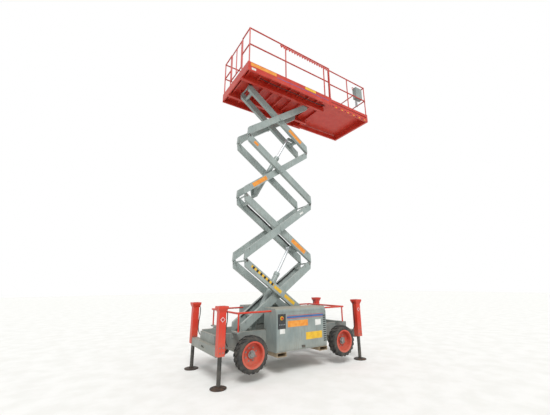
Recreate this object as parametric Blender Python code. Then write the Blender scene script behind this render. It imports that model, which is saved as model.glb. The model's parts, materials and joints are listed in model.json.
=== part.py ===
import math

import bmesh
import bpy
from mathutils import Matrix, Vector

# Driving dimensions in metres. Heights are above the ground the outrigger pads stand on.
lift = 0.148            # wheels held clear of the ground
wheelbase = 2.318
tyre_radius = 0.323
tyre_width = 0.22
track_outer = 0.90      # outer face of the tyres
rim_radius = 0.233
seat_radius = 0.2147
steer_offset = 0.18     # kingpin inboard of the wheel centre

arm_length = 2.36       # pin to pin
arm_angle = 40.0        # degrees above level
pin_left = -1.059
pin_height = 0.554 + lift
arm_depth = 0.16
arm_width = 0.08
inner_plane = 0.21
outer_plane = 0.305
foot_drop = 0.048       # lower pin below the beam
top_inset = 0.036       # upper pin below the beam's top
pin_radius = 0.018
lug_radius = 0.034
lug_thickness = 0.024
slot_width = 0.036
slot_radius = 0.062
roller_radius = 0.042
slant = math.radians(50)

base_along, base_down = 0.311, 0.141   # barrel foot on the lower arm of a stage
eye_along = 0.61                       # rod eye on the arm above
barrel_radius = 0.065
barrel_length = 1.36
rod_radius = 0.035

rail_y0, rail_y1 = 0.37, 0.45
rail_z0, rail_z1 = 0.40 + lift, 0.66 + lift
frame_half = 1.6897

leg_x, leg_y = 1.762, 0.763
housing_size = 0.131
housing_z0, housing_z1 = 0.358 + lift, 1.155 + lift
leg_radius = 0.0375
pad_radius = 0.145

cab_x0, cab_x1 = -0.64, 0.667
cab_y0, cab_y1 = 0.375, 0.842
cab_z0, cab_z1 = 0.28 + lift, 1.09 + lift

deck_x0, deck_x1 = -1.398, 1.346
deck_half = 0.797
deck_z = 6.582 + lift
floor_rise = 0.165
toe_rise = 0.25
rail_rise = 1.309
mid_rise = 0.79
rail_tube = 0.018
side_plate = 0.036
extension_x1 = 2.956
extension_half = 0.754

beta = math.asin((foot_drop + arm_depth - top_inset) / arm_length)
theta = math.radians(arm_angle)
stage_rise = arm_length * math.sin(theta)
stage_run = arm_length * math.cos(theta)
pin_right = pin_left + stage_run
shift = -((extension_x1) + (-leg_x - pad_radius)) / 2

colours = {
    "grey": (0.33, 0.35, 0.37, 1),
    "red": (0.45, 0.03, 0.03, 1),
    "dark": (0.03, 0.03, 0.03, 1),
    "rubber": (0.05, 0.045, 0.04, 1),
    "steel": (0.55, 0.55, 0.55, 1),
    "dust": (0.32, 0.28, 0.22, 1),
    "box": (0.4, 0.4, 0.4, 1),
}

for old in list(bpy.data.objects):
    bpy.data.objects.remove(old, do_unlink=True)



def hide(obj):
    obj.hide_render = True
    obj.display_type = "WIRE"
    return obj


def mesh_object(bm, name="piece"):
    bmesh.ops.recalc_face_normals(bm, faces=bm.faces)
    mesh = bpy.data.meshes.new(name)
    bm.to_mesh(mesh)
    bm.free()
    obj = bpy.data.objects.new(name, mesh)
    bpy.context.scene.collection.objects.link(obj)
    return hide(obj)


def box(x0, x1, y0, y1, z0, z1):
    bm = bmesh.new()
    bmesh.ops.create_cube(bm, size=1)
    bmesh.ops.scale(bm, vec=(abs(x1 - x0), abs(y1 - y0), abs(z1 - z0)), verts=bm.verts)
    bmesh.ops.translate(bm, vec=((x0 + x1) / 2, (y0 + y1) / 2, (z0 + z1) / 2), verts=bm.verts)
    return mesh_object(bm)


def prism(points, y0, y1):
    bm = bmesh.new()
    rings = [[bm.verts.new((x, y, z)) for x, z in points] for y in (y0, y1)]
    bm.faces.new(rings[0])
    bm.faces.new(list(reversed(rings[1])))
    count = len(points)
    for i in range(count):
        j = (i + 1) % count
        bm.faces.new((rings[0][i], rings[1][i], rings[1][j], rings[0][j]))
    return mesh_object(bm)


def prism_x(points, x0, x1):
    obj = prism([(y, z) for y, z in points], x0, x1)
    for v in obj.data.vertices:
        v.co = Vector((v.co.y, v.co.x, v.co.z))
    return flip_fix(obj)


def flip_fix(obj):
    bm = bmesh.new()
    bm.from_mesh(obj.data)
    bmesh.ops.recalc_face_normals(bm, faces=bm.faces)
    bm.to_mesh(obj.data)
    bm.free()
    return obj


def rod(start, end, radius, sides=12):
    start, end = Vector(start), Vector(end)
    along = end - start
    bm = bmesh.new()
    bmesh.ops.create_cone(bm, cap_ends=True, segments=sides, radius1=radius, radius2=radius, depth=along.length)
    turn = along.to_track_quat("Z", "Y").to_matrix().to_4x4()
    bmesh.ops.transform(bm, matrix=Matrix.Translation((start + end) / 2) @ turn, verts=bm.verts)
    return mesh_object(bm)


def cross_rod(x, z, y0, y1, radius, sides=12):
    return rod((x, y0, z), (x, y1, z), radius, sides)


def bore(x, z, y0, y1, radius, sides=12):
    return cross_rod(x, z, y0, y1, (radius + 0.0003) / math.cos(math.pi / sides), sides)


def circle(x, z, radius, start=0.0, sweep=math.tau, steps=12):
    last = steps if sweep < math.tau - 0.001 else steps - 1
    span = range(last + 1)
    return [(x + radius * math.cos(start + sweep * i / steps), z + radius * math.sin(start + sweep * i / steps))
            for i in span]


def hull(points):
    points = sorted(set(points))
    def half(run):
        out = []
        for p in run:
            while len(out) > 1 and ((out[-1][0] - out[-2][0]) * (p[1] - out[-2][1])
                                    - (out[-1][1] - out[-2][1]) * (p[0] - out[-2][0])) <= 1e-9:
                out.pop()
            out.append(p)
        return out[:-1]
    return half(points) + half(points[::-1])


def lathe(profile, segments=28):
    bm = bmesh.new()
    rings = []
    for r, t in profile:
        if r < 1e-6:
            rings.append([bm.verts.new((0, t, 0))])
        else:
            rings.append([bm.verts.new((r * math.cos(math.tau * i / segments), t,
                                        r * math.sin(math.tau * i / segments))) for i in range(segments)])
    pairs = list(zip(rings, rings[1:]))
    if len(rings[0]) > 1:
        pairs.append((rings[-1], rings[0]))
    for a, b in pairs:
        for i in range(segments):
            j = (i + 1) % segments
            if len(a) == 1 and len(b) == 1:
                continue
            if len(a) == 1:
                bm.faces.new((a[0], b[i], b[j]))
            elif len(b) == 1:
                bm.faces.new((a[i], b[0], a[j]))
            else:
                bm.faces.new((a[i], b[i], b[j], a[j]))
    return mesh_object(bm)


def move(obj, x=0.0, y=0.0, z=0.0):
    for v in obj.data.vertices:
        v.co += Vector((x, y, z))
    return obj


def mirror_y(obj):
    for v in obj.data.vertices:
        v.co.y = -v.co.y
    return flip_fix(obj)


def combine(base, others, operation):
    if not others:
        return
    group = bpy.data.collections.new("set")
    for obj in others:
        group.objects.link(obj)
    mod = base.modifiers.new(operation.lower(), "BOOLEAN")
    mod.operation = operation
    mod.solver = "EXACT"
    mod.operand_type = "COLLECTION"
    mod.collection = group
    depsgraph = bpy.context.evaluated_depsgraph_get()
    result = bpy.data.meshes.new_from_object(base.evaluated_get(depsgraph))
    base.modifiers.clear()
    base.data = result
    for obj in others:
        bpy.data.objects.remove(obj, do_unlink=True)
    bpy.data.collections.remove(group)




def finish(name, pieces, cuts, colour, parent, origin=(0, 0, 0), metallic=0.2, roughness=0.5):
    base = pieces[0]
    combine(base, pieces[1:], "UNION")
    combine(base, cuts, "DIFFERENCE")
    bm = bmesh.new()
    bm.from_mesh(base.data)
    bmesh.ops.remove_doubles(bm, verts=bm.verts, dist=0.00002)
    bmesh.ops.translate(bm, vec=(-origin[0], -origin[1], -origin[2]), verts=bm.verts)
    bm.to_mesh(base.data)
    bm.free()
    base.name = name
    base.data.name = name
    base.data.materials.clear()
    mat = bpy.data.materials.new(name)
    mat.use_nodes = True
    shader = mat.node_tree.nodes["Principled BSDF"]
    shader.inputs["Base Color"].default_value = colours[colour]
    shader.inputs["Metallic"].default_value = metallic
    shader.inputs["Roughness"].default_value = roughness
    base.data.materials.append(mat)
    base.data.shade_smooth()
    base.data.set_sharp_from_angle(angle=math.radians(35))
    base.hide_render = False
    base.display_type = "TEXTURED"
    base.parent = parent
    base.matrix_parent_inverse = parent.matrix_world.inverted()
    base.matrix_world = Matrix.Translation(Vector(origin) + Vector((shift, 0, 0)))
    return base


def body(name, spot, parent=None):
    empty = bpy.data.objects.new(name, None)
    bpy.context.scene.collection.objects.link(empty)
    empty.parent = parent
    world = Matrix.Translation(Vector(spot) + Vector((shift, 0, 0)))
    if parent:
        empty.matrix_parent_inverse = parent.matrix_world.inverted()
    empty.matrix_world = world
    bpy.context.view_layer.update()
    return empty


root = body("base", (0, 0, 0))

# Chassis frame with the fixed scissor feet and the lower roller tracks.
axle_x = wheelbase / 2
roll_low = pin_left + arm_length * math.cos(math.radians(50))
roll_high = pin_left + arm_length * math.cos(beta)
pieces, cuts = [box(pin_left - 0.06, pin_left + 0.06, -rail_y1 + 0.02, rail_y1 - 0.02, rail_z0 + 0.005, pin_height - 0.075)], []
for side in (1, -1):
    pieces.append(box(-frame_half, frame_half, side * rail_y0, side * rail_y1, rail_z0, rail_z1))
    cuts.append(box(roll_low - 0.08, roll_high + 0.10, side * (rail_y0 - 0.01), side * (rail_y1 - 0.01),
                    pin_height - roller_radius - 0.0005, pin_height + roller_radius + 0.0005))
    for end in (-1, 1):
        pieces.append(box(end * 1.33, end * 1.41, side * (rail_y1 - 0.01), side * 0.69, 0.675 + lift, 0.70 + lift))
        pieces.append(box(end * 1.33, end * 1.41, side * (rail_y1 - 0.01), side * (rail_y1 + 0.02),
                          rail_z1 - 0.08, 0.70 + lift))
    for plate in (-1, 1):
        y0 = side * inner_plane + plate * 0.5 * slot_width
        pieces.append(prism(hull(circle(pin_left, pin_height, 0.04) + [(pin_left - 0.04, pin_height - 0.10),
                                                                        (pin_left + 0.04, pin_height - 0.10)]),
                            y0, y0 + plate * 0.016))
    pieces.append(cross_rod(pin_left, pin_height, side * inner_plane - 0.04, side * inner_plane + 0.04, pin_radius))
for x in (-frame_half + 0.06, -0.30, 0.40, frame_half - 0.06):
    wide = 0.05
    pieces.append(box(x - wide, x + wide, -rail_y1 + 0.02, rail_y1 - 0.02, rail_z0 + 0.004, rail_z0 + 0.045))
chassis = finish("chassis_frame", pieces, cuts, "grey", root)

# Cross beams that carry the outriggers, and the outriggers.
beam_z0, beam_z1 = 0.33 + lift, 0.48 + lift
for end, label in ((-1, "left"), (1, "right")):
    x0, x1 = end * (frame_half + 0.0003), end * (leg_x + 0.055)
    wall = [box(x0, x1, -leg_y + housing_size / 2 + 0.0003, leg_y - housing_size / 2 - 0.0003, beam_z0, beam_z1),
            box(end * (frame_half + 0.0003), end * (frame_half + 0.05), -0.4, 0.4, beam_z1 - 0.02, rail_z1 - 0.02)]
    hole = [box(end * (leg_x + 0.03), end * (leg_x + 0.08), -0.09, 0.09, beam_z0 + 0.055, beam_z1 - 0.055)]
    finish(label + "_cross_beam", wall, hole, "grey", root)
    for side, name in ((-1, "near"), (1, "far")):
        tag = name + "_" + label
        cx, cy, half = end * leg_x, side * leg_y, housing_size / 2
        cap = half + 0.030
        shell = [box(cx - half, cx + half, cy - half, cy + half, housing_z0, housing_z1 - 0.05)]
        flare = box(cx - half, cx + half, cy - half, cy + half, housing_z1 - 0.07, housing_z1)
        for v in flare.data.vertices:
            if v.co.z > housing_z1 - 0.03:
                v.co.x = cx + (v.co.x - cx) * cap / half
                v.co.y = cy + (v.co.y - cy) * cap / half
        shell += [flare, box(cx - cap, cx + cap, cy - cap, cy + cap, housing_z1 - 0.001, housing_z1 + 0.035)]
        hole = [box(cx - half + 0.011, cx + half - 0.011, cy - half + 0.011, cy + half - 0.011,
                    housing_z0 + 0.04, housing_z1 + 0.05),
                rod((cx, cy, housing_z0 - 0.01), (cx, cy, housing_z0 + 0.06), leg_radius + 0.0004, 20)]
        finish("outrigger_housing_" + tag, shell, hole, "red", root)
        leg = body("outrigger_" + tag, (cx, cy, 0.0), root)
        finish("outrigger_leg_" + tag, [rod((cx, cy, 0.0403), (cx, cy, 0.65 + lift), leg_radius, 20)], [],
               "dark", leg, (cx, cy, 0.0), 0.6, 0.4)
        pad = move(lathe([(0, 0), (pad_radius - 0.012, 0), (pad_radius, 0.008), (pad_radius, 0.018),
                          (pad_radius - 0.03, 0.026), (0.05, 0.03), (0.05, 0.04), (0, 0.04)], 20), 0, 0, 0)
        for v in pad.data.vertices:
            v.co = Vector((v.co.x + cx, -v.co.z + cy, v.co.y))
        finish("outrigger_pad_" + tag, [flip_fix(pad)], [], "dust", leg, (cx, cy, 0.0), 0.3, 0.7)

# Cabinets beside the chassis, hollow, each with a cover hinged along its top edge.
for side, name in ((-1, "near"), (1, "far")):
    def outline(gap):
        r = 0.06
        out = [(cab_y1 - gap, cab_z0 + gap), (rail_y1 + 0.0003 + gap, cab_z0 + gap),
               (rail_y1 + 0.0003 + gap, rail_z1 + 0.0203 + gap), (cab_y0 + gap, rail_z1 + 0.0203 + gap),
               (cab_y0 + gap, cab_z1 - gap)]
        out += circle(cab_y1 - r, cab_z1 - r, r - gap, math.pi / 2, -math.pi / 2, 5)
        return [(side * y, z) for y, z in out]
    shell = prism_x(outline(0), cab_x0, cab_x1)
    hollow = prism_x(outline(0.012), cab_x0 + 0.012, cab_x1 - 0.012)
    mouth = box(cab_x0 + 0.05, cab_x1 - 0.05, side * (cab_y1 - 0.03), side * (cab_y1 + 0.02), cab_z0 + 0.05, cab_z1 - 0.13)
    finish(name + "_cabinet", [shell], [hollow, mouth], "box", root)
    hinge_z = cab_z1 - 0.085
    door = body(name + "_cabinet_cover", (0, side * (cab_y1 + 0.009), hinge_z), root)
    face = side * (cab_y1 + 0.0005)
    panel = [box(cab_x0 + 0.004, cab_x1 - 0.004, face, side * (cab_y1 + 0.018), cab_z0 + 0.03, hinge_z + 0.001),
             box(cab_x0 + 0.004, cab_x1 - 0.004, face, side * (cab_y1 + 0.010), cab_z0 + 0.006, cab_z0 + 0.04)]
    slot = [box(-0.03, 0.05, side * (cab_y1 + 0.006), side * (cab_y1 + 0.03), cab_z0 + 0.055, cab_z0 + 0.085)]
    finish(name + "_cover", panel, slot, "box", door, (0, side * (cab_y1 + 0.009), hinge_z))
finish("engine_block", [box(-0.42, 0.36, 0.49, 0.76, cab_z0 + 0.0123, 0.86 + lift)], [], "dark", root)

# Fork pockets across the machine under the cabinets.
for x0, label in ((-0.619, "left"), (0.452, "right")):
    x1 = x0 + 0.215
    z0, z1 = 0.20 + lift, cab_z0 - 0.0003
    finish("fork_pocket_" + label, [box(x0, x1, -0.86, 0.86, z0, z1)],
           [box(x0 + 0.008, x1 - 0.008, -0.87, 0.87, z0 + 0.008, z1 - 0.008)], "dust", root)

# Tubular guards round each end of the scissor at cabinet height.
guard_y, guard_z, guard_r = 0.655, 1.035 + lift, 0.019
for end, label in ((-1, "left"), (1, "right")):
    inner = (cab_x0 - 0.0003) if end < 0 else (cab_x1 + 0.0003)
    outer = end * 1.40
    pieces = [rod((outer, -guard_y - guard_r * 0.9, guard_z), (outer, guard_y + guard_r * 0.9, guard_z), guard_r, 8)]
    for side in (1, -1):
        pieces.append(rod((inner, side * guard_y, guard_z), (outer + end * guard_r * 0.8, side * guard_y, guard_z), guard_r * 0.96, 8))
        pieces.append(rod((end * 1.37, side * guard_y, 0.7003 + lift), (end * 1.37, side * guard_y, guard_z - 0.004), guard_r * 0.88, 8))
    finish(label + "_scissor_guard", pieces, [], "red", root)

# Axles. The right pair of wheels steers.
hub_z = tyre_radius + lift
king_y = track_outer - tyre_width / 2 - steer_offset + 0.01
for end, label in ((-1, "fixed"), (1, "steered")):
    cx = end * axle_x
    reach = track_outer - tyre_width + 0.0305 if end < 0 else king_y - 0.045
    pieces = [box(cx - 0.06, cx + 0.06, -reach + 0.10, reach - 0.10, hub_z - 0.06, hub_z + 0.055)]
    for side in (1, -1):
        pieces.append(box(cx - 0.075, cx + 0.075, side * (rail_y0 + 0.005), side * (rail_y1 - 0.005), hub_z, rail_z0 - 0.0003))
        if end < 0:
            pieces.append(cross_rod(cx, hub_z, side * (reach - 0.12), side * (reach - 0.001), 0.065, 20))
        else:
            pieces.append(box(cx - 0.05, cx + 0.05, side * (reach - 0.12), side * (reach + 0.002), hub_z - 0.085, hub_z + 0.085))
            for level in (-1, 1):
                pieces.append(box(cx - 0.045, cx + 0.045, side * (reach - 0.01), side * (king_y + 0.03),
                                  hub_z + level * 0.06, hub_z + level * 0.085))
    finish(label + "_axle", pieces, [], "grey", root)

rim_profile = [(0, 0.03), (0.065, 0.03), (0.065, 0.095), (0.198, 0.095), (0.2, 0.008), (0.206, 0), (rim_radius, 0),
               (rim_radius, 0.012), (seat_radius, 0.015), (seat_radius, 0.205), (rim_radius, 0.208),
               (rim_radius, 0.22), (0.208, 0.22), (0.2, 0.208), (0.198, 0.108), (0.08, 0.108), (0.075, 0.135),
               (0, 0.135)]
tyre_profile = [(seat_radius + 0.0003, 0.0155), (rim_radius + 0.0004, 0.0125), (rim_radius + 0.03, 0.0), (0.298, 0.006),
                (0.316, 0.022), (tyre_radius, 0.05), (tyre_radius, 0.17), (0.316, 0.198), (0.298, 0.214),
                (rim_radius + 0.03, 0.22), (rim_radius + 0.0004, 0.2075), (seat_radius + 0.0003, 0.2045)]
for end, label in ((-1, "left"), (1, "right")):
    for side, name in ((-1, "near"), (1, "far")):
        tag = name + "_" + label
        carrier = root
        if end > 0:
            carrier = body("knuckle_" + tag, (axle_x, side * king_y, hub_z), root)
            pieces = [box(axle_x - 0.026, axle_x + 0.026, side * (king_y - 0.024), side * (king_y + 0.035), hub_z - 0.0595, hub_z + 0.0595),
                      cross_rod(axle_x, hub_z, side * king_y, side * (track_outer - tyre_width + 0.0295), 0.05, 20)]
            finish("steering_knuckle_" + tag, pieces, [], "grey", carrier, (axle_x, side * king_y, hub_z))
        centre = (end * axle_x, side * (track_outer - tyre_width / 2), hub_z)
        wheel = body("wheel_" + tag, centre, carrier)
        for part_name, profile, colour, metal in (("rim_", rim_profile, "red", 0.2), ("tyre_", tyre_profile, "rubber", 0.0)):
            obj = lathe([(r, t + track_outer - tyre_width) for r, t in profile], 24)
            if side < 0:
                obj = mirror_y(obj)
            move(obj, end * axle_x, 0, hub_z)
            finish(part_name + tag, [obj], [], colour, wheel, centre, metal, 0.6)

# Scissor arms. Each arm is drawn level as it lies stowed, then turned about its lower pin.
run = arm_length * math.cos(beta)
rise = arm_length * math.sin(beta)
top_z = foot_drop + arm_depth


def beam_outline():
    tip = circle(run, rise, top_inset, math.pi / 2, -(math.pi / 2 + math.pi / 2 - slant) - 0.0, 6)
    low = (run + top_inset * math.sin(slant) - (rise - top_inset * math.cos(slant) - foot_drop) / math.tan(slant), foot_drop)
    return [(-0.03, foot_drop), (-0.03 + arm_depth / math.tan(slant), top_z)] + tip + [low]


def place_arm(obj, direction, stage):
    turn = Matrix.Rotation(-(theta - beta), 4, "Y")
    for v in obj.data.vertices:
        p = turn @ v.co
        v.co = Vector((p.x * direction, p.y, p.z))
        v.co += Vector((pin_left if direction > 0 else pin_right, 0, pin_height + stage * stage_rise))
    return flip_fix(obj)


def arm(name, direction, stage, plane, parent, hinge):
    inner = plane == inner_plane
    pieces, cuts = [], []
    for side in (1, -1):
        y0, y1 = side * (plane - arm_width / 2), side * (plane + arm_width / 2)
        pieces.append(prism(beam_outline(), y0, y1))
        foot = hull(circle(0, 0, lug_radius) + [(-0.028, foot_drop + 0.03), (0.05, foot_drop + 0.03), (-0.028, foot_drop), (0.05, foot_drop)])
        pieces.append(prism(foot, side * plane - lug_thickness / 2, side * plane + lug_thickness / 2))
        cuts.append(cross_rod(run, rise, side * plane - slot_width / 2, side * plane + slot_width / 2, slot_radius, 16))
        middle = (run / 2, rise / 2)
        if inner:
            pieces.append(cross_rod(*middle, side * (plane + arm_width / 2 - 0.01), side * (outer_plane + arm_width / 2 + 0.016), 0.028))
        else:
            pieces.append(cross_rod(*middle, side * (plane + arm_width / 2 - 0.005), side * (plane + arm_width / 2 + 0.009), 0.05, 20))
            cuts.append(bore(*middle, side * 0.2, side * 0.4, 0.028))
    if inner:
        for x in ((0.45, run - 0.17) if direction > 0 else (0.41, run - 0.17)):
            pieces.append(cross_rod(x, foot_drop + arm_depth / 2, -plane, plane, 0.045, 12))
    reach = plane + (0.045 if inner else 0.048)
    top_pin = cross_rod(run, rise, -reach, reach, pin_radius)
    open_foot = not (name.startswith("arm_1_outer"))
    if open_foot:
        cuts += [bore(0, 0, side * plane - 0.03, side * plane + 0.03, pin_radius) for side in (1, -1)]
    extra = [top_pin]
    if inner:
        if direction > 0:
            bx = base_along * math.cos(beta) + base_down * math.sin(beta)
            bz = base_along * math.sin(beta) - base_down * math.cos(beta)
            tx = 0.45
        else:
            bx, bz, tx = eye_along * math.cos(beta), eye_along * math.sin(beta), 0.41
        for side in (1, -1):
            pieces.append(prism(hull(circle(bx, bz, 0.045) + circle(tx, foot_drop + arm_depth / 2, 0.055)),
                                side * 0.075, side * 0.09))
            if direction < 0:
                pieces.append(cross_rod(bx, bz, side * 0.0895, side * 0.10, 0.026))
        if direction > 0:
            extra.append(cross_rod(bx, bz, -0.10, 0.10, 0.02))
    if name == "arm_1_outer":
        extra.append(cross_rod(0, 0, -rail_y1 + 0.016, rail_y1 - 0.016, pin_radius))
        for side in (1, -1):
            extra.append(cross_rod(0, 0, side * (rail_y0 + 0.006), side * (rail_y1 - 0.016), roller_radius, 20))
    if name == "arm_4_outer":
        extra.append(cross_rod(run, rise, -rail_y1 + 0.016, rail_y1 - 0.016, pin_radius))
        for side in (1, -1):
            extra.append(cross_rod(run, rise, side * (rail_y0 + 0.006), side * (rail_y1 - 0.016), roller_radius, 20))
    combine(pieces[0], pieces[1:], "UNION")
    combine(pieces[0], cuts, "DIFFERENCE")
    pieces = [place_arm(p, direction, stage) for p in [pieces[0]] + extra]
    spot = (hinge[0], 0, hinge[1])
    empty = body(name + "_pair", spot, parent)
    finish(name, pieces, [], "grey", empty, spot, 0.3, 0.45)
    return empty


def node_point(column, level):
    return (pin_left if column == "L" else pin_right if column == "R" else (pin_left + pin_right) / 2,
            pin_height + level * stage_rise)


a1 = arm("arm_1_inner", 1, 0, inner_plane, root, node_point("L", 0))
b1 = arm("arm_1_outer", -1, 0, outer_plane, a1, node_point("C", 0.5))
b2 = arm("arm_2_inner", -1, 1, inner_plane, a1, node_point("R", 1))
a2 = arm("arm_2_outer", 1, 1, outer_plane, b2, node_point("C", 1.5))
a3 = arm("arm_3_inner", 1, 2, inner_plane, b2, node_point("L", 2))
b3 = arm("arm_3_outer", -1, 2, outer_plane, a3, node_point("C", 2.5))
b4 = arm("arm_4_inner", -1, 3, inner_plane, a3, node_point("R", 3))
a4 = arm("arm_4_outer", 1, 3, outer_plane, b4, node_point("C", 3.5))

# Lift cylinders, one under each pair of stages.
for label, stage, holder in (("lower", 0, a1), ("upper", 2, a3)):
    foot = Vector((pin_left + base_along * math.cos(theta) + base_down * math.sin(theta), 0,
                   pin_height + stage * stage_rise + base_along * math.sin(theta) - base_down * math.cos(theta)))
    eye = Vector((pin_right - eye_along * math.cos(theta), 0,
                  pin_height + (stage + 1) * stage_rise + eye_along * math.sin(theta)))
    along = (eye - foot).normalized()
    barrel = body(label + "_barrel", foot, holder)
    pieces = [rod(foot + along * 0.03, foot + along * barrel_length, barrel_radius, 16),
              rod(foot + along * (barrel_length - 0.07), foot + along * (barrel_length + 0.004), barrel_radius + 0.007, 16),
              cross_rod(foot.x, foot.z, -0.0745, 0.0745, 0.042, 20)]
    bores = [rod(foot + along * 0.115, foot + along * (barrel_length + 0.05), rod_radius + 0.0005, 20),
             bore(foot.x, foot.z, -0.09, 0.09, 0.02)]
    finish(label + "_lift_barrel", pieces, bores, "dark", barrel, foot, 0.3, 0.5)
    slide = body(label + "_rod", eye, barrel)
    inside = (eye - foot).length - barrel_length + 0.58
    pieces = [rod(eye - along * inside, eye - along * 0.02, rod_radius, 20), cross_rod(eye.x, eye.z, -0.068, 0.068, 0.042, 20)]
    finish(label + "_lift_rod", pieces, [cross_rod(eye.x, eye.z, -0.09, 0.09, 0.0204)], "steel", slide, eye, 0.9, 0.25)

# Platform deck, its rails and gate.
platform = body("platform", (pin_left, 0, pin_height + 4 * stage_rise), b4)
top_pin = pin_height + 4 * stage_rise
floor_z = deck_z + floor_rise
plate_y = deck_half - side_plate
roof = top_pin + foot_drop
pieces = [box(deck_x0 + 0.01, deck_x1, -plate_y - 0.01, plate_y + 0.01, floor_z - 0.012, floor_z)]
cuts = []
for side in (1, -1):
    pieces.append(box(deck_x0, deck_x1, side * plate_y, side * deck_half, deck_z, deck_z + toe_rise))
    pieces.append(box(deck_x0 + 0.01, deck_x1 - 0.02, side * rail_y0, side * rail_y1, top_pin - 0.06, floor_z - 0.006))
    cuts.append(box(roll_low - 0.08, deck_x1 + 0.02, side * (rail_y0 - 0.01), side * (rail_y1 - 0.01),
                    top_pin - roller_radius - 0.0005, top_pin + roller_radius + 0.0005))
    y = side * inner_plane
    pieces.append(prism(hull(circle(pin_left, top_pin, lug_radius) + [(pin_left - 0.05, floor_z - 0.008), (pin_left + 0.05, floor_z - 0.008)]),
                        y - lug_thickness / 2, y + lug_thickness / 2))
    cuts.append(bore(pin_left, top_pin, y - 0.03, y + 0.03, pin_radius))
pieces.append(box(deck_x0, deck_x0 + 0.03, -deck_half + 0.01, deck_half - 0.01, deck_z + 0.02, deck_z + toe_rise))
ribs = 9
for i in range(ribs):
    x = deck_x0 + 0.12 + (deck_x1 - deck_x0 - 0.20) * i / (ribs - 1)
    pieces.append(box(x - 0.02, x + 0.02, -0.69, 0.69, roof, floor_z - 0.006))
finish("platform_deck", pieces, cuts, "red", platform, (pin_left, 0, top_pin))

rail_z = deck_z + rail_rise - rail_tube
mid_z = deck_z + mid_rise
post_y = deck_half - side_plate / 2
toe_z = deck_z + toe_rise + 0.0003
gate_half = 0.33
for side, name in ((-1, "near"), (1, "far")):
    x0, x1 = deck_x0 + 0.035, deck_x1 - 0.03
    y = side * post_y
    pieces = [rod((x0 - 0.016, y, rail_z), (x1 + 0.016, y, rail_z), rail_tube, 8), rod((x0, y, mid_z), (x1, y, mid_z), rail_tube, 8)]
    for x in (x0, -0.268, x1 - 0.21, x1):
        pieces.append(rod((x, y, toe_z), (x, y, rail_z), rail_tube * 0.97, 8))
    for z in (rail_z, mid_z):
        pieces.append(rod((x0, y, z), (x0, side * (gate_half + 0.03), z), rail_tube, 8))
    pieces.append(rod((x0, side * (gate_half + 0.03), toe_z), (x0, side * (gate_half + 0.03), rail_z + 0.017), rail_tube * 0.97, 8))
    finish(name + "_guard_rail", pieces, [], "red", platform, (pin_left, 0, top_pin))
gate_x = deck_x0 + 0.035
post_in = gate_half + 0.03
gate = body("gate", (gate_x, post_in, mid_z), platform)
gap = 0.006
pieces = []
for z in (rail_z - 0.03, deck_z + 0.42):
    pieces.append(rod((gate_x, -post_in + rail_tube + gap, z), (gate_x, post_in - rail_tube - gap, z), rail_tube * 0.9, 8))
for y in (-post_in + rail_tube + gap + 0.03, 0.0, post_in - rail_tube - gap - 0.03):
    pieces.append(rod((gate_x, y, deck_z + 0.42), (gate_x, y, rail_z - 0.03), rail_tube * 0.85, 8))
for z in (rail_z - 0.10, deck_z + 0.50):
    pieces.append(box(gate_x - 0.012, gate_x + 0.012, post_in - rail_tube - gap - 0.04, post_in - rail_tube - 0.0004, z - 0.02, z + 0.02))
finish("entry_gate", pieces, [], "red", gate, (gate_x, post_in, mid_z))

# Extension deck, which slides out of the main deck.
extension = body("extension", (deck_x1, 0, floor_z), platform)
tail = deck_x1 - 0.06
ext_y = extension_half
plate_z = floor_z + 0.006
pieces = [box(tail, extension_x1, -ext_y + 0.03, ext_y - 0.03, plate_z, plate_z + 0.012),
          box(extension_x1 - 0.06, extension_x1, -ext_y, ext_y, deck_z, plate_z + 0.10)]
for side in (1, -1):
    pieces.append(box(tail, extension_x1, side * (ext_y - 0.034), side * ext_y, plate_z, plate_z + 0.085))
    pieces.append(box(tail - 0.25, extension_x1 - 0.01, side * (ext_y - 0.050), side * ext_y, deck_z + 0.005, floor_z - 0.03))
    pieces.append(box(tail - 0.25, tail - 0.15, side * (ext_y - 0.01), side * (plate_y - 0.0004), deck_z + 0.04, floor_z - 0.05))
    pieces.append(box(tail, tail + 0.08, side * (ext_y - 0.01), side * (plate_y - 0.0004), plate_z + 0.02, plate_z + 0.06))
finish("extension_deck", pieces, [], "red", extension, (deck_x1, 0, floor_z))
ey = ext_y - 0.017 - 0.006
ex0, ex1 = deck_x1 - 0.02, extension_x1 - 0.035
base_z = plate_z + 0.0853
pieces = []
for side in (1, -1):
    for z in (rail_z, mid_z):
        pieces.append(rod((ex0, side * ey, z), (ex1, side * ey, z), rail_tube, 8))
    for x in (ex0, (ex0 + ex1) / 2):
        pieces.append(rod((x, side * ey, base_z), (x, side * ey, rail_z), rail_tube * 0.9, 8))
    pieces.append(rod((ex1, side * ey, plate_z + 0.1003), (ex1, side * ey, rail_z), rail_tube * 0.9, 8))
for z in (rail_z, mid_z):
    pieces.append(rod((ex1, -ey - 0.017, z), (ex1, ey + 0.017, z), rail_tube, 8))
finish("extension_guard_rail", pieces, [], "red", extension, (deck_x1, 0, floor_z))
finish("control_box", [box(2.56, 2.84, -ey + rail_tube + 0.0003, -ey + rail_tube + 0.14, mid_z + 0.02, rail_z - 0.08),
                       box(2.60, 2.80, -ey + rail_tube + 0.0003, -ey + rail_tube + 0.05, mid_z - 0.016, mid_z + 0.03)], [], "box",
       extension, (deck_x1, 0, floor_z))
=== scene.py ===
import json
import math
import random

import bmesh
import bpy
from mathutils import Matrix, Vector

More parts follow.
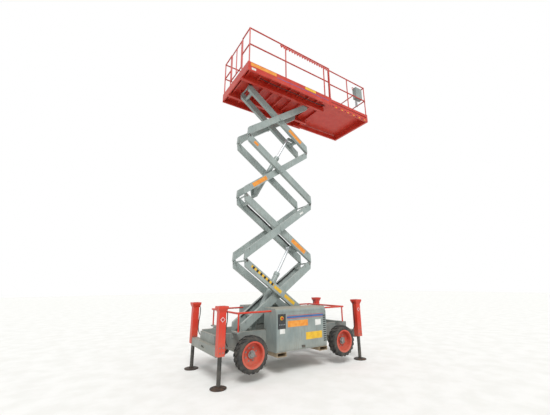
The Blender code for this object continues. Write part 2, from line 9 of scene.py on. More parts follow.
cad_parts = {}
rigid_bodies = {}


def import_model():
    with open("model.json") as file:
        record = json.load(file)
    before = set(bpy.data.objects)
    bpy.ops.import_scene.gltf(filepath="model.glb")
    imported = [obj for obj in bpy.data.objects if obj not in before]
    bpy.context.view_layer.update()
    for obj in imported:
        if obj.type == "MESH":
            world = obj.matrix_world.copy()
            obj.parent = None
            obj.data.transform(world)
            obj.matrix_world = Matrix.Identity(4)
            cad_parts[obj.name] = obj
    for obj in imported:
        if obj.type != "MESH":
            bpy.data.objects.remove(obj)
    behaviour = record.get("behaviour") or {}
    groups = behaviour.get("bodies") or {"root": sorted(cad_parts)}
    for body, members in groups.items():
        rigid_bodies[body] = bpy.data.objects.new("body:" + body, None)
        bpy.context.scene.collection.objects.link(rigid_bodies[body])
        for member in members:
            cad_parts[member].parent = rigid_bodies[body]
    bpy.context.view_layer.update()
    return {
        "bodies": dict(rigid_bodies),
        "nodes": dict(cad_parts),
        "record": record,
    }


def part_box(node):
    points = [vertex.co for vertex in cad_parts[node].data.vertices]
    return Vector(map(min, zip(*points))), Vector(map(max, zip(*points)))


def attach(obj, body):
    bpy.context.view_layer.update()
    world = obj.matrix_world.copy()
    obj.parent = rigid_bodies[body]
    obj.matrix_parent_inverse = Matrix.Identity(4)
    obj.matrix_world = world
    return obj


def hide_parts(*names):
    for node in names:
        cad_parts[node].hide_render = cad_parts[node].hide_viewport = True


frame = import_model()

random.seed(7)
scene = bpy.context.scene
nodes = frame["nodes"]
bodies = frame["bodies"]
jointTable = {j["name"]: j for j in frame["record"]["behaviour"]["joints"]}


def hexColour(text):
    parts = [int(text[i:i + 2], 16) / 255 for i in (1, 3, 5)]
    return [c / 12.92 if c <= 0.04045 else ((c + 0.055) / 1.055) ** 2.4 for c in parts] + [1.0]


def node(tree, kind, values=None, links=None, **attributes):
    made = tree.nodes.new(kind)
    for name, value in attributes.items():
        setattr(made, name, value)
    for key, value in (values or {}).items():
        made.inputs[key].default_value = value
    for key, source in (links or {}).items():
        tree.links.new(source, made.inputs[key])
    return made


def ramp(tree, source, low, high, first=0.0, last=1.0):
    made = node(tree, "ShaderNodeMapRange", {"From Min": low, "From Max": high, "To Min": first, "To Max": last},
                {"Value": source})
    return made.outputs["Result"]


def mix(tree, factor, first, second):
    made = node(tree, "ShaderNodeMix", data_type="RGBA")
    tree.links.new(factor, made.inputs["Factor"])
    for key, value in (("A", first), ("B", second)):
        if isinstance(value, (list, tuple)):
            made.inputs[6 if key == "A" else 7].default_value = value
        else:
            tree.links.new(value, made.inputs[6 if key == "A" else 7])
    return made.outputs[2]


def noise(tree, place, size, detail=4.0, rough=0.55):
    made = node(tree, "ShaderNodeTexNoise", {"Scale": 1 / size, "Detail": detail, "Roughness": rough},
                {"Vector": place})
    return made.outputs["Fac"]


# Painted steel: sun-bleached patches, fine orange peel, chips on edges, dust on what faces up and road dirt low down.
def paint(name, base, pale, dust=0.35, wear=0.3, gloss=0.42, dirtTop=0.9, chip="#5b4a3c"):
    mat = bpy.data.materials.new(name)
    mat.use_nodes = True
    tree = mat.node_tree
    shader = tree.nodes["Principled BSDF"]
    place = node(tree, "ShaderNodeTexCoord").outputs["Object"]
    geometry = node(tree, "ShaderNodeNewGeometry")
    up = node(tree, "ShaderNodeSeparateXYZ", links={"Vector": geometry.outputs["Normal"]}).outputs["Z"]
    height = node(tree, "ShaderNodeSeparateXYZ", links={"Vector": geometry.outputs["Position"]}).outputs["Z"]
    patches = ramp(tree, noise(tree, place, 0.25), 0.38, 0.68)
    colour = mix(tree, patches, hexColour(base), hexColour(pale))
    streakPlace = node(tree, "ShaderNodeMapping", {"Scale": (1, 1, 0.12)}, {"Vector": place}).outputs["Vector"]
    streak = ramp(tree, noise(tree, streakPlace, 0.03, 6), 0.52, 0.75, 0.0, 0.35)
    colour = mix(tree, streak, colour, hexColour("#6c5e50"))
    bevel = node(tree, "ShaderNodeBevel", {"Radius": 0.004}, samples=4)
    edge = node(tree, "ShaderNodeVectorMath", links={0: bevel.outputs["Normal"], 1: geometry.outputs["Normal"]},
                operation="DOT_PRODUCT").outputs["Value"]
    edgeMask = ramp(tree, edge, 0.995, 0.90, 0.0, 1.0)
    flake = ramp(tree, noise(tree, place, 0.012, 5), 0.5, 0.62, 0.0, wear * 2)
    chips = node(tree, "ShaderNodeMath", links={0: edgeMask, 1: flake}, operation="MULTIPLY", use_clamp=True)
    colour = mix(tree, chips.outputs[0], colour, hexColour(chip))
    topMask = ramp(tree, up, 0.4, 0.95, 0.0, dust)
    lowMask = ramp(tree, height, dirtTop, 0.15, 0.0, 0.55)
    grain = ramp(tree, noise(tree, place, 0.06, 6), 0.3, 0.7, 0.4, 1.0)
    both = node(tree, "ShaderNodeMath", links={0: topMask, 1: lowMask}, operation="MAXIMUM").outputs[0]
    dusty = node(tree, "ShaderNodeMath", links={0: both, 1: grain}, operation="MULTIPLY", use_clamp=True).outputs[0]
    colour = mix(tree, dusty, colour, hexColour("#a3937c"))
    tree.links.new(colour, shader.inputs["Base Color"])
    rough = node(tree, "ShaderNodeMath", {1: 0.45}, {0: dusty}, operation="MULTIPLY").outputs[0]
    peel = node(tree, "ShaderNodeMath", {1: gloss}, {0: rough}, operation="ADD", use_clamp=True)
    tree.links.new(peel.outputs[0], shader.inputs["Roughness"])
    bump = node(tree, "ShaderNodeBump", {"Strength": 0.15, "Distance": 0.002}, {"Height": noise(tree, place, 0.008, 3)})
    tree.links.new(bump.outputs["Normal"], shader.inputs["Normal"])
    return mat


# Rubber, plastic and bare steel share one recipe with their own colours and grain.
def plain(name, base, second, rough=0.6, metal=0.0, grainSize=0.01, bumpDepth=0.001, spread=(0.4, 0.62)):
    mat = bpy.data.materials.new(name)
    mat.use_nodes = True
    tree = mat.node_tree
    shader = tree.nodes["Principled BSDF"]
    place = node(tree, "ShaderNodeTexCoord").outputs["Object"]
    broad = noise(tree, place, grainSize * 8)
    colour = mix(tree, ramp(tree, broad, *spread), hexColour(base), hexColour(second))
    tree.links.new(colour, shader.inputs["Base Color"])
    shader.inputs["Metallic"].default_value = metal
    tree.links.new(ramp(tree, broad, 0.2, 0.8, rough * 0.8, min(1.0, rough * 1.2)), shader.inputs["Roughness"])
    bump = node(tree, "ShaderNodeBump", {"Strength": 0.3, "Distance": bumpDepth},
                {"Height": noise(tree, place, grainSize, 4)})
    tree.links.new(bump.outputs["Normal"], shader.inputs["Normal"])
    return mat


mats = {
    "armPaint": paint("enamel_grey_arms", "#8b9693", "#9ba5a1", dust=0.2, wear=0.25, gloss=0.35),
    "framePaint": paint("enamel_grey_frame", "#7b8482", "#8e9591", dust=0.45, wear=0.5, gloss=0.5),
    "redPaint": paint("enamel_red", "#c62a17", "#cf4029", dust=0.2, wear=0.4),
    "deckPaint": paint("enamel_red_platform", "#b52618", "#c23c2b", dust=0.25, wear=0.4),
    "boxPaint": paint("enamel_cabinet_grey", "#7f8a88", "#8f9894", dust=0.7, wear=0.3, gloss=0.45, dirtTop=0.7),
    "darkPaint": paint("enamel_black", "#202326", "#35393b", dust=0.35, wear=0.3, gloss=0.4),
    "padPaint": plain("pad_rusted_steel", "#3c3531", "#5e4a3d", 0.7, 0.3, 0.01, 0.001),
    "forkSteel": paint("fork_pocket_steel", "#8a7861", "#a8977c", dust=0.5, wear=0.7, gloss=0.6),
    "tyreRubber": plain("tyre_rubber_dusty", "#2c2d2d", "#4e4a44", 0.85, 0.0, 0.012, 0.002),
    "hoseRubber": plain("hose_rubber", "#141414", "#232323", 0.5, 0.0, 0.003, 0.0005),
    "chrome": plain("chromed_rod", "#cfd3d5", "#c2c6c8", 0.40, 0.9, 0.08, 0.00002),
    "steel": plain("zinc_plated_steel", "#9a9b99", "#7d7b76", 0.42, 0.9, 0.006, 0.0004),
    "orangePlate": plain("vinyl_orange", "#d9852b", "#e39a42", 0.4, 0.0, 0.01, 0.0002),
    "yellowPlate": plain("vinyl_yellow", "#e0b52f", "#d4a428", 0.4, 0.0, 0.01, 0.0002),
    "whitePlate": plain("vinyl_white", "#dcdcd8", "#c6c6c0", 0.45, 0.0, 0.01, 0.0002),
    "legSteel": plain("ground_steel_oiled", "#4a4a48", "#63605b", 0.38, 0.8, 0.02, 0.0002),
    "bluePlate": plain("vinyl_blue", "#2c5a96", "#3566a3", 0.4, 0.0, 0.01, 0.0002),
    "blackPlate": plain("vinyl_black", "#151515", "#222222", 0.45, 0.0, 0.01, 0.0002),
    # Near-black: painted shade for the inside of the louvre slots on the covers.
    "paintedShadeSlots": plain("painted_shade_slots", "#0c0d0e", "#17181a", 0.8, 0.0, 0.01, 0.0005),
    "greyPlastic": plain("moulded_plastic_grey", "#7c8084", "#8b8f92", 0.5, 0.0, 0.002, 0.0003),
    "redPlastic": plain("moulded_plastic_red", "#c0252b", "#a81f26", 0.35, 0.0, 0.002, 0.0002),
}


def nodePaint(name):
    for words, key in ((("tyre",), "tyreRubber"), (("rim", "outrigger_housing", "scissor_guard"), "redPaint"),
                       (("platform_deck", "guard_rail", "entry_gate", "extension_deck"), "deckPaint"),
                       (("cabinet", "cover", "control_box"), "boxPaint"), (("outrigger_pad",), "padPaint"),
                       (("fork_pocket",), "forkSteel"), (("outrigger_leg",), "legSteel"), (("engine",), "darkPaint"),
                       (("lift_rod",), "chrome"), (("arm_", "lift_barrel"), "armPaint")):
        if any(w in name for w in words):
            return mats[key]
    return mats["framePaint"]


for name, obj in nodes.items():
    obj.data.materials.clear()
    obj.data.materials.append(nodePaint(name))
print("materials done", flush=True)

# Camera, floor and light.
cameraView = {"spot": (-4.4805, -6.075, 1.715), "yaw": -33.796, "pitch": 16.286, "roll": -0.498}
yaw, pitch, roll = (math.radians(cameraView[k]) for k in ("yaw", "pitch", "roll"))
ahead = Vector((-math.sin(yaw) * math.cos(pitch), math.cos(yaw) * math.cos(pitch), math.sin(pitch)))
right = Vector((math.cos(yaw), math.sin(yaw), 0))
above = right.cross(ahead)
tiltRight = right * math.cos(roll) + above * math.sin(roll)
tiltUp = above * math.cos(roll) - right * math.sin(roll)
camData = bpy.data.cameras.new("camera")
camera = bpy.data.objects.new("camera", camData)
scene.collection.objects.link(camera)
camData.lens = 18.863
camData.sensor_width = 36
camData.shift_x = -0.0139
camData.shift_y = -0.0136
camData.clip_end = 200
turn = Matrix((tiltRight, tiltUp, -ahead)).transposed().to_4x4()
camera.matrix_world = Matrix.Translation(cameraView["spot"]) @ turn
scene.camera = camera
scene.view_settings.view_transform = "Standard"

world = bpy.data.worlds.new("soft_sky")
scene.world = world
world.use_nodes = True
skyTree = world.node_tree
soft = skyTree.nodes["Background"]
soft.inputs["Color"].default_value = hexColour("#eef0f0")
soft.inputs["Strength"].default_value = 0.75
white = node(skyTree, "ShaderNodeBackground", {"Color": (1, 1, 1, 1), "Strength": 1.0})
lightPath = node(skyTree, "ShaderNodeLightPath").outputs
seen = node(skyTree, "ShaderNodeMath", links={0: lightPath["Is Camera Ray"], 1: lightPath["Is Glossy Ray"]},
            operation="MAXIMUM")
seen = node(skyTree, "ShaderNodeMath", links={0: seen.outputs[0], 1: lightPath["Is Transmission Ray"]},
            operation="MAXIMUM")
sky = node(skyTree, "ShaderNodeMixShader",
           links={0: seen.outputs[0], 1: soft.outputs[0], 2: white.outputs[0]})
skyTree.links.new(sky.outputs[0], skyTree.nodes["World Output"].inputs["Surface"])
sun = bpy.data.lights.new("sun", "SUN")
sun.energy = 2.2
sun.angle = math.radians(25)
sunObject = bpy.data.objects.new("sun", sun)
sunObject.rotation_euler = (math.radians(42), 0, math.radians(-28))
scene.collection.objects.link(sunObject)

bm = bmesh.new()
bmesh.ops.create_grid(bm, x_segments=1, y_segments=1, size=60)
floorMesh = bpy.data.meshes.new("floor")
bm.to_mesh(floorMesh)
bm.free()
floor = bpy.data.objects.new("floor", floorMesh)
scene.collection.objects.link(floor)
floor.data.materials.append(plain("pale_concrete", "#efeeeb", "#e9e8e4", 0.9, 0.0, 0.05, 0.001))
print("stage done", flush=True)


def addPiece(name, bm, mat, body, smooth=False):
    bmesh.ops.recalc_face_normals(bm, faces=bm.faces)
    mesh = bpy.data.meshes.new(name)
    bm.to_mesh(mesh)
    bm.free()
    obj = bpy.data.objects.new(name, mesh)
    scene.collection.objects.link(obj)
    mesh.materials.append(mat)
    if smooth:
        mesh.shade_smooth()
        mesh.set_sharp_from_angle(angle=math.radians(35))
    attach(obj, body)
    return obj


def addBox(bm, low, high, turn=None, bevel=0.0):
    size = [high[i] - low[i] for i in range(3)]
    middle = Vector([(high[i] + low[i]) / 2 for i in range(3)])
    made = bmesh.ops.create_cube(bm, size=1)["verts"]
    bmesh.ops.scale(bm, vec=size, verts=made)
    if bevel:
        edges = list({e for v in made for e in v.link_edges})
        made = bmesh.ops.bevel(bm, geom=edges, offset=bevel, segments=2, affect="EDGES")["verts"]
    place = Matrix.Translation(middle) @ (turn or Matrix.Identity(4))
    bmesh.ops.transform(bm, matrix=place, verts=made)


def addDisc(bm, spot, axis, radius, depth, sides=16, tip=None):
    turn = Vector(axis).to_track_quat("Z", "Y").to_matrix().to_4x4()
    place = Matrix.Translation(Vector(spot)) @ turn @ Matrix.Translation((0, 0, depth / 2))
    bmesh.ops.create_cone(bm, cap_ends=True, segments=sides, radius1=radius, radius2=tip or radius,
                          depth=depth, matrix=place)


# Hexagon bolt head on a washer.
def addBolt(bm, spot, axis, radius=0.011):
    axis = Vector(axis).normalized()
    addDisc(bm, spot, axis, radius * 1.5, radius * 0.25, 14)
    addDisc(bm, Vector(spot) + axis * radius * 0.25, axis, radius, radius * 0.8, 6, radius * 0.94)


def hose(name, points, radius, mat, body):
    curve = bpy.data.curves.new(name, "CURVE")
    curve.dimensions = "3D"
    curve.bevel_depth = radius
    curve.bevel_resolution = 3
    curve.use_fill_caps = True
    spline = curve.splines.new("BEZIER")
    spline.bezier_points.add(len(points) - 1)
    spline.resolution_u = 8
    for point, spot in zip(spline.bezier_points, points):
        point.co = spot
        point.handle_left_type = point.handle_right_type = "AUTO"
    obj = bpy.data.objects.new(name, curve)
    scene.collection.objects.link(obj)
    curve.materials.append(mat)
    if isinstance(body, str):
        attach(obj, body)
    return obj


near, far = -1, 1
sides = (("near", near), ("far", far))

# Pins of the scissor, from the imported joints.
pins = {
    "L0": Vector(jointTable["scissor_fold"]["pos_m"]),
    "R1": Vector(jointTable["stage_2_right_pin"]["pos_m"]),
    "L2": Vector(jointTable["stage_3_left_pin"]["pos_m"]),
    "R3": Vector(jointTable["stage_4_right_pin"]["pos_m"]),
    "L4": Vector(jointTable["platform_pin"]["pos_m"]),
}
for name, column, level in (("R0", "R1", "L0"), ("L1", "L0", "R1"), ("R2", "R1", "L2"), ("L3", "L0", "R3"), ("R4", "R1", "L4")):
    pins[name] = Vector((pins[column].x, 0, pins[level].z))
armFace = {"inner": 0.25, "outer": 0.345}
armDepth, footDrop, topInset = 0.16, 0.048, 0.036
armEnds = {"arm_1_inner": ("L0", "R1"), "arm_1_outer": ("R0", "L1"), "arm_2_inner": ("R1", "L2"),
           "arm_2_outer": ("L1", "R2"), "arm_3_inner": ("L2", "R3"), "arm_3_outer": ("R2", "L3"),
           "arm_4_inner": ("R3", "L4"), "arm_4_outer": ("L3", "R4")}


def armFrame(arm):
    low, high = (pins[p] for p in armEnds[arm])
    line = high - low
    way = 1 if line.x > 0 else -1
    lean = math.asin((footDrop + armDepth - topInset) / line.length)
    angle = math.atan2(line.z, abs(line.x)) - lean
    along = Vector((way * math.cos(angle), 0, math.sin(angle)))
    rise = Vector((-way * math.sin(angle), 0, math.cos(angle)))
    return low, along, rise, line.length * math.cos(lean)


# A thin plate or sticker on an arm's outer face, from s0 to s1 along the beam and h0 to h1 up it.
def armPlate(name, arm, s0, s1, h0, h1, mat, side=near, thick=0.0015):
    low, along, rise, _ = armFrame(arm)
    y = side * armFace[arm.split("_")[2]]
    bm = bmesh.new()
    rings = []
    for lift in (0.0, side * thick):
        rings.append([bm.verts.new(low + along * s + rise * (footDrop + h) + Vector((0, y + lift, 0)))
                      for s, h in ((s0, h0), (s1, h0), (s1, h1), (s0, h1))])
    bm.faces.new(rings[1])
    bm.faces.new(rings[0])
    for i in range(4):
        j = (i + 1) % 4
        bm.faces.new((rings[0][i], rings[0][j], rings[1][j], rings[1][i]))
    return addPiece(name, bm, mat, arm)


# Stickers on the arms: arm, start, end, lower, upper, material.
armStickers = (
    ("arm_1_outer", 1.50, 2.20, 0.070, 0.125, "yellowPlate"), ("arm_1_outer", 1.24, 1.47, 0.05, 0.12, "yellowPlate"),
    ("arm_1_outer", 0.80, 1.13, 0.05, 0.12, "yellowPlate"), ("arm_2_inner", 0.27, 0.76, 0.03, 0.13, "orangePlate"),
    ("arm_3_inner", 0.28, 0.75, 0.03, 0.13, "orangePlate"), ("arm_4_inner", 0.30, 0.79, 0.03, 0.13, "orangePlate"),
    ("arm_3_outer", 2.04, 2.18, 0.04, 0.11, "orangePlate"), ("arm_2_outer", 1.9, 2.02, 0.05, 0.10, "whitePlate"),
)
for number, (arm, s0, s1, h0, h1, key) in enumerate(armStickers):
    for sideName, side in sides:
        armPlate(f"sticker_{arm}_{number}_{sideName}", arm, s0, s1, h0, h1, mats[key], side)
dashPitch, dashWide, dashCount = 0.117, 0.055, 6
for sideName, side in sides:
    for i in range(dashCount):
        start = 1.52 + i * dashPitch
        armPlate(f"warning_dash_{i}_{sideName}", "arm_1_outer", start, start + dashWide, 0.070, 0.125,
                 mats["blackPlate"], side, 0.0022)
print("stickers done", flush=True)

# Pin heads and retaining bolts on every arm, and centre caps on the outer arms.
for arm in armEnds:
    low, along, rise, length = armFrame(arm)
    plane = armFace[arm.split("_")[2]]
    high = pins[armEnds[arm][1]]
    bm = bmesh.new()
    for _, side in sides:
        face = Vector((0, side * plane, 0))
        out = (0, side, 0)
        addDisc(bm, high + face, out, 0.033, 0.006, 20)
        addDisc(bm, high + face + Vector((0, side * 0.006, 0)), out, 0.021, 0.002, 16)
        for turnAngle in (0.7, 3.8):
            spot = high + face + (along * math.cos(turnAngle) + rise * math.sin(turnAngle)) * 0.024
            addBolt(bm, spot + Vector((0, side * 0.006, 0)), out, 0.004)
        for share in (0.08, 0.93):
            addBolt(bm, low + along * length * share + rise * (footDrop + armDepth * 0.82) + face, out, 0.008)
    addPiece(f"pin_heads_{arm}", bm, mats["steel"], arm)
    if plane > 0.3:
        bm = bmesh.new()
        middle = (low + high) / 2
        for _, side in sides:
            out = (0, side, 0)
            addDisc(bm, middle + Vector((0, side * 0.3545, 0)), out, 0.044, 0.004, 24)
            for k in range(4):
                around = math.radians(45 + 90 * k)
                spot = middle + (along * math.cos(around) + rise * math.sin(around)) * 0.036
                addBolt(bm, spot + Vector((0, side * 0.3585, 0)), out, 0.005)
        addPiece(f"centre_caps_{arm}", bm, mats["armPaint"], arm)
print("pins done", flush=True)

# Tyres with a block tread, rim bolts and a grey hub on each wheel.
treadRadius, carcassRadius, lugCount = 0.323, 0.306, 20
for bodyName in [b for b in bodies if b.startswith("wheel_")]:
    tag = bodyName[6:]
    lowCorner, highCorner = (Vector(c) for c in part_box("tyre_" + tag))
    centre = (lowCorner + highCorner) / 2
    width = highCorner.y - lowCorner.y
    side = 1 if centre.y > 0 else -1
    bm = bmesh.new()
    half = width / 2
    profile = [(0.216, -half * 0.86), (0.236, -half * 0.97), (0.262, -half), (0.288, -half * 0.96), (carcassRadius - 0.004, -half * 0.84),
               (carcassRadius, -half * 0.55), (carcassRadius, half * 0.55), (carcassRadius - 0.004, half * 0.84),
               (0.288, half * 0.96), (0.262, half), (0.236, half * 0.97), (0.216, half * 0.86)]
    segments = 64
    rings = [[bm.verts.new((centre.x + r * math.cos(math.tau * i / segments), centre.y + t,
                            centre.z + r * math.sin(math.tau * i / segments))) for i in range(segments)]
             for r, t in profile]
    for a, b in zip(rings, rings[1:] + rings[:1]):
        for i in range(segments):
            j = (i + 1) % segments
            bm.faces.new((a[i], b[i], b[j], a[j]))
    for i in range(lugCount):
        for row in (-1, 1):
            angle = math.tau * (i + (0.25 if row > 0 else -0.25)) / lugCount
            lean = 0.10 * row
            outline = []
            for share, shift in ((-0.06, -0.02), (0.55, 0.35), (0.93, 0.62)):
                outline.append((share * half * row, angle + lean * shift * 4))
            thick = math.tau / lugCount * 0.24
            lowRing, topRing = [], []
            path = [(y, a - thick) for y, a in outline] + [(y, a + thick) for y, a in reversed(outline)]
            for y, a in path:
                edge = abs(y) / half
                top = treadRadius - (0.012 if edge > 0.9 else 0.0)
                for ring, r in ((lowRing, carcassRadius - 0.02), (topRing, top)):
                    ring.append(bm.verts.new((centre.x + r * math.cos(a), centre.y + y, centre.z + r * math.sin(a))))
            count = len(path)
            for k in range(count // 2 - 1):
                bm.faces.new((topRing[k], topRing[k + 1], topRing[count - 2 - k], topRing[count - 1 - k]))
            for k in range(count):
                bm.faces.new((lowRing[k], lowRing[(k + 1) % count], topRing[(k + 1) % count], topRing[k]))
    tyre = addPiece("lugged_tyre_" + tag, bm, mats["tyreRubber"], bodyName, True)
    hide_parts("tyre_" + tag)
    bm = bmesh.new()
    hubFace = centre + Vector((0, side * 0.026, 0))
    out = (0, side, 0)
    addDisc(bm, hubFace, out, 0.072, 0.012, 28)
    addDisc(bm, hubFace + Vector((0, side * 0.012, 0)), out, 0.05, 0.018, 24, 0.044)
    for k in range(6):
        around = math.tau * k / 6
        spot = Vector((math.cos(around), 0, math.sin(around)))
        addBolt(bm, hubFace + spot * 0.060 + Vector((0, side * 0.012, 0)), out, 0.006)
    addPiece("hub_cap_" + tag, bm, mats["steel"], bodyName, True)
    bm = bmesh.new()
    for k in range(8):
        around = math.tau * (k + 0.5) / 8
        spot = Vector((math.cos(around), 0, math.sin(around)))
        addBolt(bm, centre + spot * 0.115 + Vector((0, side * -0.002, 0)), out, 0.010)
    addPiece("wheel_nuts_" + tag, bm, mats["steel"], bodyName, True)
print("wheels done", flush=True)


# Flat plate with its outline in x and z, standing proud of a side face at y.
def sidePlate(name, x0, x1, z0, z1, y, thick, mat, body):
    bm = bmesh.new()
    addBox(bm, (x0, min(y, y + thick), z0), (x1, max(y, y + thick), z1))
    return addPiece(name, bm, mat, body)


# Both covers: stripe, stickers, louvres (near-black strips of painted shade standing in for the shaded vent slots),
# recess with controls and latch. Offsets are from the cover's lower left corner.
for sideName, side in sides:
    low, high = (Vector(c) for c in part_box(sideName + "_cover"))
    face = low.y if side < 0 else high.y
    body = sideName + "_cover"
    x, z = low.x, low.z
    stickers = (("stripe_blue", 0.25, 1.22, 0.612, 0.645, "bluePlate"), ("stripe_red_top", 0.25, 1.22, 0.652, 0.660, "redPlastic"),
                ("stripe_red_low", 0.25, 1.22, 0.597, 0.605, "redPlastic"), ("plate_orange", 0.27, 0.79, 0.44, 0.56, "orangePlate"),
                ("plate_yellow", 0.73, 1.17, 0.17, 0.31, "yellowPlate"), ("plate_white", 0.99, 1.15, 0.43, 0.545, "whitePlate"),
                ("plate_white_small", 0.08, 0.20, 0.33, 0.45, "whitePlate"))
    for label, a, b, c, d, key in stickers:
        sidePlate(f"{sideName}_{label}", x + a, x + b, z + c, z + d, face, side * 0.0015, mats[key], body)
    bm = bmesh.new()
    # Louvre slots drawn as near-black strips proud of the cover: painted shade, not a dark part.
    for i in range(13):
        addBox(bm, (x + 1.215, min(face, face + side * 0.004), z + 0.10 + i * 0.042),
               (x + 1.285, max(face, face + side * 0.004), z + 0.118 + i * 0.042))
    addPiece(sideName + "_louvres", bm, mats["paintedShadeSlots"], body)
    bm = bmesh.new()
    addBox(bm, (x + 0.03, min(face, face + side * 0.003), z + 0.42), (x + 0.22, max(face, face + side * 0.003), z + 0.70))
    addPiece(sideName + "_control_panel", bm, mats["darkPaint"], body)
    bm = bmesh.new()
    for k in range(4):
        addDisc(bm, (x + 0.065 + 0.04 * k, face + side * 0.003, z + 0.50), (0, side, 0), 0.012, 0.016, 14, 0.010)
    addPiece(sideName + "_control_knobs", bm, mats["greyPlastic"], body, True)
    bm = bmesh.new()
    addDisc(bm, (x + 0.125, face + side * 0.003, z + 0.62), (0, side, 0), 0.038, 0.006, 24)
    addPiece(sideName + "_stop_plate", bm, mats["yellowPlate"], body, True)
    bm = bmesh.new()
    addDisc(bm, (x + 0.125, face + side * 0.009, z + 0.62), (0, side, 0), 0.014, 0.012, 16)
    addDisc(bm, (x + 0.125, face + side * 0.018, z + 0.62), (0, side, 0), 0.024, 0.014, 20, 0.018)
    addPiece(sideName + "_stop_button", bm, mats["redPlastic"], body, True)
    bm = bmesh.new()
    addBox(bm, (x + 0.62, min(face, face + side * 0.012), z + 0.03), (x + 0.70, max(face, face + side * 0.012), z + 0.075), None, 0.004)
    addPiece(sideName + "_latch", bm, mats["darkPaint"], body)
    bm = bmesh.new()
    for i in range(10):
        addBolt(bm, (x + 0.03 + i * 0.138, face, high.z - 0.035), (0, side, 0), 0.006)
    addPiece(sideName + "_cover_bolts", bm, mats["steel"], body)
print("cabinets done", flush=True)

# Outriggers: hose from the cap, sticker diamond and bolts on the housing.
for bodyName in [b for b in bodies if b.startswith("outrigger_")]:
    tag = bodyName[10:]
    low, high = (Vector(c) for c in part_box("outrigger_housing_" + tag))
    middle = (low + high) / 2
    sideX, sideY = (1 if middle.x > 0 else -1), (1 if middle.y > 0 else -1)
    tubeHalf = 0.0655
    top = high.z
    route = [(middle.x - sideX * 0.055, middle.y, top - 0.05), (middle.x - sideX * 0.10, middle.y, top - 0.09),
             (middle.x - sideX * 0.115, middle.y, top - 0.22), (middle.x - sideX * 0.095, middle.y, top - 0.42),
             (middle.x - sideX * 0.10, middle.y - sideY * 0.01, top - 0.60), (middle.x - sideX * 0.15, middle.y - sideY * 0.03, top - 0.70)]
    hose("outrigger_hose_" + tag, route, 0.009, mats["hoseRubber"], "chassis")
    bm = bmesh.new()
    for y in (-tubeHalf, tubeHalf):
        for z in (low.z + 0.06, low.z + 0.14):
            addBolt(bm, (middle.x - 0.03, middle.y + y, z), (0, 1 if y > 0 else -1, 0), 0.008)
            addBolt(bm, (middle.x + 0.03, middle.y + y, z), (0, 1 if y > 0 else -1, 0), 0.008)
    addPiece("housing_bolts_" + tag, bm, mats["steel"], "chassis")
    bm = bmesh.new()
    diamond = Matrix.Rotation(math.radians(45), 4, "Y")
    addBox(bm, (middle.x - 0.032, middle.y + sideY * tubeHalf - 0.0015, top - 0.26), (middle.x + 0.032, middle.y + sideY * tubeHalf + 0.0015, top - 0.196), diamond)
    addPiece("diamond_white_" + tag, bm, mats["whitePlate"], "chassis")
    bm = bmesh.new()
    addBox(bm, (middle.x - 0.024, middle.y + sideY * tubeHalf - 0.0022, top - 0.252), (middle.x + 0.024, middle.y + sideY * tubeHalf + 0.0022, top - 0.204), diamond)
    addPiece("diamond_red_" + tag, bm, mats["redPlastic"], "chassis")
print("outriggers done", flush=True)

# Deck: toothed rack, side stripes, plates, cable under the deck, and yellow dashes on the slide-out deck.
deckLow, deckHigh = (Vector(c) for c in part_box("platform_deck"))
railHigh = Vector(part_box("near_guard_rail")[1])
for sideName, side in sides:
    face = side * max(abs(deckLow.y), abs(deckHigh.y))
    x, z = deckLow.x, deckLow.z + 0.02
    for label, a, b, c, d, key in (("orange_a", 0.07, 0.82, 0.14, 0.235, "orangePlate"), ("blue", 0.84, 2.62, 0.115, 0.128, "bluePlate"),
                                   ("yellow_a", 1.76, 2.14, 0.16, 0.235, "yellowPlate"), ("white_b", 0.10, 0.22, 0.035, 0.095, "whitePlate")):
        sidePlate(f"deck_{label}_{sideName}", x + a, x + b, z + c, z + d, face, side * 0.0015, mats[key], "platform")
    bm = bmesh.new()
    y = side * 0.779
    start, end, top = deckLow.x + 0.95, deckLow.x + 2.66, railHigh.z - 0.055
    pitch = 0.09
    count = int((end - start) / pitch)
    for k in range(count):
        a = start + k * pitch
        outline = [(a, top), (a + pitch, top), (a + pitch, top - 0.035), (a + pitch * 0.72, top - 0.035),
                   (a + pitch * 0.62, top - 0.075), (a + pitch * 0.28, top - 0.075), (a + pitch * 0.18, top - 0.035), (a, top - 0.035)]
        rings = [[bm.verts.new((px, y + t, pz)) for px, pz in outline] for t in (-0.004, 0.004)]
        bm.faces.new(rings[0])
        bm.faces.new(rings[1])
        for i in range(len(outline)):
            j = (i + 1) % len(outline)
            if (k > 0 and i == 7) or (k < count - 1 and i == 1):
                continue
            bm.faces.new((rings[0][i], rings[0][j], rings[1][j], rings[1][i]))
    bmesh.ops.remove_doubles(bm, verts=bm.verts, dist=0.0001)
    addPiece(f"toothed_rack_{sideName}", bm, mats["deckPaint"], "platform")
    extLow = Vector(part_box("extension_deck")[0])
    for i in range(12):
        a = deckHigh.x + 0.06 + i * 0.125
        sidePlate(f"extension_dash_{i}_{sideName}", a, a + 0.055, extLow.z + 0.02, extLow.z + 0.05, side * 0.754, side * 0.0015,
                  mats["yellowPlate" if i % 2 else "blackPlate"], "extension")
cableY = -0.62
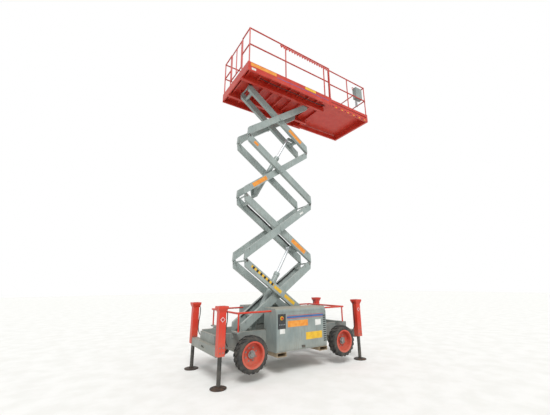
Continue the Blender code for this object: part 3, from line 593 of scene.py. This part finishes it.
hose("deck_cable", [(pins["L4"].x + 0.1, cableY, deckLow.z + 0.06), (pins["L4"].x + 0.6, cableY, deckLow.z + 0.035),
                    (-0.4, cableY, deckLow.z + 0.05), (0.4, cableY, deckLow.z + 0.03), (deckHigh.x - 0.12, cableY, deckLow.z + 0.06)],
     0.010, mats["hoseRubber"], "platform")
boxLow, boxHigh = (Vector(c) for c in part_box("control_box"))
bm = bmesh.new()
middle = (boxLow + boxHigh) / 2
for k, x in enumerate((-0.08, 0.0, 0.08)):
    addDisc(bm, (middle.x + x, middle.y, boxHigh.z), (0, 0, 1), 0.012, 0.03, 14, 0.009)
    addDisc(bm, (middle.x + x, middle.y, boxHigh.z + 0.03), (0, 0, 1), 0.016, 0.014, 14)
addPiece("control_levers", bm, mats["blackPlate"], "extension", True)
guardZ = boxHigh.z + 0.05
hose("control_guard", [(boxLow.x - 0.02, boxHigh.y - 0.02, boxHigh.z - 0.06), (boxLow.x - 0.02, boxHigh.y - 0.01, guardZ), (boxLow.x, boxHigh.y, guardZ + 0.015),
                       (boxHigh.x, boxHigh.y, guardZ + 0.015), (boxHigh.x + 0.02, boxHigh.y - 0.01, guardZ), (boxHigh.x + 0.02, boxHigh.y - 0.02, boxHigh.z - 0.06)],
     0.009, mats["redPaint"], "extension")
coil = []
for i in range(73):
    turnAngle = math.tau * i / 12
    coil.append((boxLow.x + 0.05 + 0.03 * math.cos(turnAngle), middle.y + 0.03 * math.sin(turnAngle), boxLow.z - 0.02 - 0.04 * i / 12))
hose("coiled_lead", coil, 0.007, mats["greyPlastic"], "extension")
print("platform done", flush=True)

# Hoses clipped to the inner faces of the two lowest inner arms, short of the joints.
hoseFace, hoseStart, hoseEnd, hoseSteps, hoseWave = 0.159, 0.30, 2.15, 9, 0.003
for arm in ("arm_1_inner", "arm_2_inner"):
    low, along, rise, _ = armFrame(arm)
    for number, up in enumerate((0.130, 0.150)):
        route = []
        for k in range(hoseSteps):
            s = hoseStart + (hoseEnd - hoseStart) * k / (hoseSteps - 1)
            route.append(low + along * s + rise * (footDrop + up + hoseWave * math.sin(s * 9)) + Vector((0, hoseFace, 0)))
        hose(f"{arm}_hose_{number}", route, 0.008, mats["hoseRubber"], arm)
print("hoses done", flush=True)
